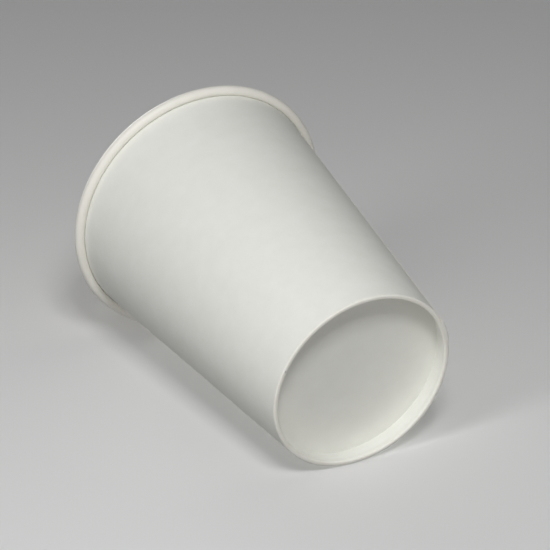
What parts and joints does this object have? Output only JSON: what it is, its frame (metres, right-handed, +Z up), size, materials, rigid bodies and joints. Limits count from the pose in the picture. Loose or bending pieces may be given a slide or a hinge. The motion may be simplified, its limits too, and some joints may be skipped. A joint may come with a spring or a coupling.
{
  "type": "paper coffee cup",
  "caption": "Tapered single-wall paper cup for hot drinks, with a rolled rim, a lap-sealed side seam and a recessed base disc.",
  "frame": {"origin": "centre of the standing edge's plane, on the cup's axis", "axes": "+Z up along the cup's axis from the base to the rim; the outer edge of the side seam lies 218 degrees round from +X, anticlockwise seen from above, so it is between the -X and -Y sides"},
  "size_m": [0.09, 0.09, 0.112],
  "materials": {
    "wall_board": "uncoated white board outside, thin clear lining inside and over the rolled rim",
    "base_board": "uncoated white board below, thin clear lining above"
  },
  "bodies": {
    "root": {"sidewall": "wall_board", "base_disc": "base_board"}
  },
  "joints": []
}
